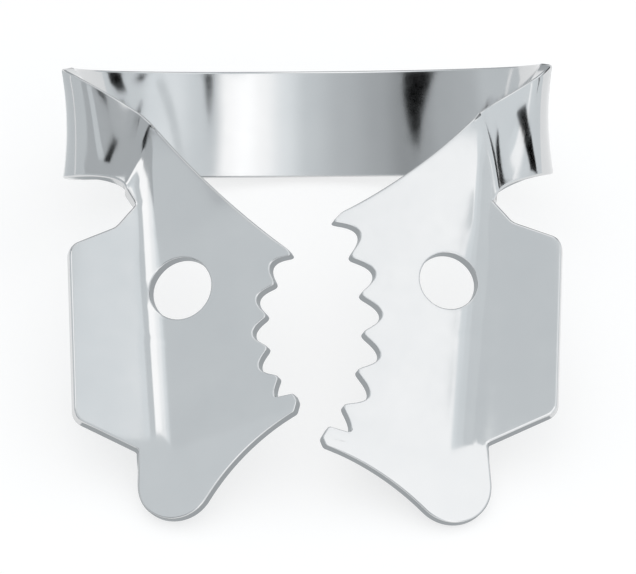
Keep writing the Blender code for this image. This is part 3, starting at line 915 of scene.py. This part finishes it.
def soft_studio():
    """Surroundings of a pale studio: levels overhead by x, in front by bearing, and
    one level behind."""
    world = bpy.data.worlds.new("studio")
    world.use_nodes = True
    tree = world.node_tree
    back = tree.nodes["Background"]
    place = tree.nodes.new("ShaderNodeTexCoord")
    axes = tree.nodes.new("ShaderNodeSeparateXYZ")
    tree.links.new(place.outputs["Generated"], axes.inputs["Vector"])
    x, y, z = axes.outputs["X"], axes.outputs["Y"], axes.outputs["Z"]
    forward = worked_out(tree, "MULTIPLY", y, -1.0)
    compass = worked_out(tree, "ARCTAN2", x, forward)
    degrees = worked_out(tree, "DEGREES", compass)
    overhead = level_ramp(tree, x, OVERHEAD, -1.0, 1.0)
    front = level_ramp(tree, degrees, FRONT, -180.0, 180.0)
    behind = tree.nodes.new("ShaderNodeRGB")
    behind.outputs[0].default_value = held(BEHIND)
    high = ramp_between(tree, z, *OVERHEAD_FROM_HEIGHT, kind="SMOOTHSTEP")
    front = blend_levels(tree, high, front, overhead)
    middle = ramp_between(tree, y, *OVERHEAD_FROM_DEPTH, kind="SMOOTHSTEP")
    level = blend_levels(tree, middle, front, overhead)
    far = ramp_between(tree, y, *BEHIND_FROM_DEPTH, kind="SMOOTHSTEP")
    level = blend_levels(tree, far, level, behind.outputs[0])
    tree.links.new(level, back.inputs["Color"])
    back.inputs["Strength"].default_value = HEADROOM
    return world


# Floor's paper: its grey, and the grey and glow that the camera sees instead
PAPER_GREY = 0.92
HALF_LIT_GREY = 0.36
PAPER_GLOW = 0.67
WHITE = (1.0, 1.0, 1.0, 1.0)


def bare_material(name):
    """A material with nothing but its output; also its tree and the output's input."""
    material = bpy.data.materials.new(name)
    material.use_nodes = True
    tree = material.node_tree
    tree.nodes.clear()
    out = tree.nodes.new("ShaderNodeOutputMaterial")
    return material, tree, out.inputs["Surface"]


def matt(tree, grey):
    """A diffuse shader of one grey."""
    shader = tree.nodes.new("ShaderNodeBsdfDiffuse")
    shader.inputs["Color"].default_value = (grey, grey, grey, 1.0)
    return shader.outputs[0]


def glowing(tree, colour, strength):
    """An emission shader of one colour and strength."""
    shader = tree.nodes.new("ShaderNodeEmission")
    shader.inputs["Color"].default_value = colour
    shader.inputs["Strength"].default_value = strength
    return shader.outputs[0]


def pale_paper():
    """Pale floor. The camera and reflections see it partly lit through, so that the
    shadow on it stays faint."""
    paper, tree, surface = bare_material("pale_paper")
    plain = matt(tree, PAPER_GREY)
    both = tree.nodes.new("ShaderNodeAddShader")
    tree.links.new(matt(tree, HALF_LIT_GREY), both.inputs[0])
    tree.links.new(glowing(tree, WHITE, PAPER_GLOW), both.inputs[1])
    path = tree.nodes.new("ShaderNodeLightPath")
    seen = path.outputs["Is Camera Ray"]
    for ray in ("Is Glossy Ray", "Is Transmission Ray"):
        seen = worked_out(tree, "MAXIMUM", seen, path.outputs[ray])
    choice = tree.nodes.new("ShaderNodeMixShader")
    tree.links.new(seen, choice.inputs["Fac"])
    tree.links.new(plain, choice.inputs[1])
    tree.links.new(both.outputs[0], choice.inputs[2])
    tree.links.new(choice.outputs[0], surface)
    return paper


# Floor, in metres
FLOOR_HALF = 0.8
floor_mesh = bpy.data.meshes.new("floor")
floor_corners = np.array([(-1, -1, 0), (1, -1, 0), (1, 1, 0), (-1, 1, 0)]) * FLOOR_HALF
floor_mesh.from_pydata(floor_corners.tolist(), [], [(0, 1, 2, 3)])
floor_mesh.materials.append(pale_paper())
floor = placed("floor", floor_mesh)
floor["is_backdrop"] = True
bpy.context.scene.world = soft_studio()

# Cards that only the metal mirrors, in millimetres in the floor's frame: each has
# its level and two lines of corners with the card between them
CARDS = {
    "card_right_wing": (
        0.80,
        ((-3.5, -15, 38), (-3.5, 3, 38)),
        ((4.6, -15, 38), (3.2, 3, 38)),
    ),
    "card_left_wing": (
        0.99,
        ((61.5, -22, 160), (61.5, 8, 160)),
        ((76, -22, 160), (72.5, 8, 160)),
    ),
    "card_right_crease": (
        0.84,
        ((1.4, -20, 60), (-0.8, 3, 60)),
        ((15.4, -20, 60), (13.4, 3, 60)),
    ),
    "card_right_low": (
        0.84,
        ((11, -16.5, 38), (9.2, 3, 38)),
        ((14.3, -16.5, 38), (14.3, 3, 38)),
    ),
    "card_right_band": (
        0.82,
        (
            (14.7, 1, 20),
            (14.7, -1.5, 20),
            (15.5, -7.7, 20),
            (15.6, -9.9, 20),
            (16.2, -11.5, 20),
        ),
        ((18, 1, 20), (18, -1.5, 20), (18, -7.7, 20), (18, -9.9, 20), (18, -11.5, 20)),
    ),
    "card_left_lobe": (
        0.84,
        ((-20, -26, 12), (0, -26, 12)),
        ((-20, -11.8, 12), (0, -10.5, 12)),
    ),
    "card_right_lobe": (
        1.32,
        ((0, -26, 12), (20, -26, 12)),
        ((0, -12.2, 12), (20, -12.2, 12)),
    ),
    # A dim card lying on the floor under the clamp, which the metal mirrors instead of the
    # floor there: painted shadow of the clamp on the floor, seen only in reflections.
    "card_floor": (
        0.50,
        ((-13, -15, 0.04), (13, -15, 0.04)),
        ((-13, 8, 0.04), (13, 8, 0.04)),
    ),
    "card_floor_left": (
        0.74,
        ((-120, 0, 0.04), (-16, 11, 0.04)),
        ((-120, 60, 0.04), (-16, 23, 0.04)),
    ),
    "card_left_leg": (
        0.58,
        ((-11, 2.4, 35), (-14, 1.2, 35), (-24, 0.2, 35), (-34, 0.2, 35), (-80, 17, 35)),
        ((-10, 16, 35), (-14, 16, 35), (-24, 16, 35), (-34, 16.5, 35), (-80, 18, 35)),
    ),
    "card_left_root": (
        0.79,
        ((-24.4, -1, 34.8), (-24.4, 5.4, 34.8)),
        ((-31, -1, 34.8), (-31, 5.4, 34.8)),
    ),
    "card_right_leg": (
        0.92,
        ((12, 3.4, 38), (12, 14, 38)),
        ((34, 3.4, 38), (34, 14, 38)),
    ),
    "dark_bow_right": (
        0.0,
        ((-18.7, -15, 44), (-22.5, -24.2, 44), (-25.3, -26.9, 44), (-29.3, -30.1, 44)),
        ((-37, -15.5, 44), (-34.8, -23.2, 44), (-33.4, -26.7, 44), (-33.4, -30.3, 44)),
    ),
    "dark_bow_left": (
        0.0,
        ((71, -60, 104), (60.3, -60, 83.5), (58.8, -60, 80.6)),
        ((53.6, -60, 104), (54, -60, 83), (55.3, -60, 80.4)),
    ),
    "dark_bow_corner": (
        0.0,
        ((20, 19.4, 10), (20, 13.7, 8.7), (20, 10.3, 10.4)),
        ((20, 14.8, 15.7), (20, 8.9, 12.9), (20, 7.4, 13.1)),
    ),
    "dark_leg_left": (
        0.0,
        ((-15, 3.4, 32), (-17.8, 3.8, 32), (-20.8, 4.6, 32), (-25, 5.7, 32)),
        ((-13.8, 4, 32), (-15.5, 4.6, 32), (-17.9, 5.5, 32), (-20.8, 6.9, 32)),
    ),
    "dark_leg_right": (
        0.0,
        ((13.1, 5, 18), (13.6, 4.7, 18), (15.1, 4.2, 18), (17.1, 3.8, 18), (19.6, 3.6, 18)),
        ((16.3, 5.3, 18), (17.9, 5, 18), (20.5, 4.7, 18), (24, 4.8, 18), (28.9, 5.3, 18)),
    ),
    "dark_leg_right_low": (
        0.0,
        ((16, 3.85, 14.8), (16, 3.7, 12.4), (16, 3.6, 11.15), (16, 3.4, 10.1)),
        ((16, 4.85, 11.6), (16, 4.5, 10), (16, 4.3, 9.15), (16, 3.9, 8.2)),
    ),
}


def add_card(name, level, first, second):
    """A flat card of one level that nothing but a mirror sees."""
    paper, tree, surface = bare_material(name)
    tree.links.new(glowing(tree, held(level), HEADROOM), surface)
    mesh = bpy.data.meshes.new(name)
    count = len(first)
    corners = np.array(first + second) * MM
    faces = [(k, k + 1, count + k + 1, count + k) for k in range(count - 1)]
    mesh.from_pydata(corners.tolist(), [], faces)
    mesh.materials.append(paper)
    card = placed(name, mesh)
    card.visible_camera = False
    card.visible_diffuse = False
    card.visible_shadow = False
    card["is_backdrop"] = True


for name, (level, first, second) in CARDS.items():
    add_card(name, level, first, second)

# Camera in the jaws' frame: its lean, its turn to the left and its roll, its distance
# and shift in millimetres, its lens, and its clipping in metres
VIEW_LEAN = np.radians(20.0)
VIEW_LEFT = np.radians(2.0)
VIEW_ROLL = np.radians(0.6)
VIEW_DISTANCE = 220.0
VIEW_SHIFT = 0.1
LENS = 249.06
SENSOR_WIDTH = 36.0
NEAREST, FARTHEST = 0.01, 10.0
ahead = np.array([0.0, np.sin(VIEW_LEAN), -np.cos(VIEW_LEAN)])
across = np.array([1.0, 0.0, 0.0])
above = np.array([0.0, np.cos(VIEW_LEAN), np.sin(VIEW_LEAN)])
ahead, across = (
    np.cos(VIEW_LEFT) * ahead + np.sin(VIEW_LEFT) * across,
    np.cos(VIEW_LEFT) * across - np.sin(VIEW_LEFT) * ahead,
)
across, above = (
    np.cos(VIEW_ROLL) * across - np.sin(VIEW_ROLL) * above,
    np.cos(VIEW_ROLL) * above + np.sin(VIEW_ROLL) * across,
)
eye = -ahead * VIEW_DISTANCE + VIEW_SHIFT * across - VIEW_SHIFT * above

camera_data = bpy.data.cameras.new("camera")
camera_data.lens = LENS
camera_data.sensor_width = SENSOR_WIDTH
camera_data.sensor_fit = "HORIZONTAL"
camera_data.clip_start = NEAREST
camera_data.clip_end = FARTHEST
camera = placed("camera", camera_data)
pose = np.eye(4)
pose[:3, 0] = REST_MATRIX @ across
pose[:3, 1] = REST_MATRIX @ above
pose[:3, 2] = -(REST_MATRIX @ ahead)
pose[:3, 3] = (REST_MATRIX @ eye + REST_SHIFT) * MM
camera.matrix_world = Matrix(pose.tolist())
bpy.context.scene.camera = camera

bpy.context.scene.view_settings.view_transform = "Standard"
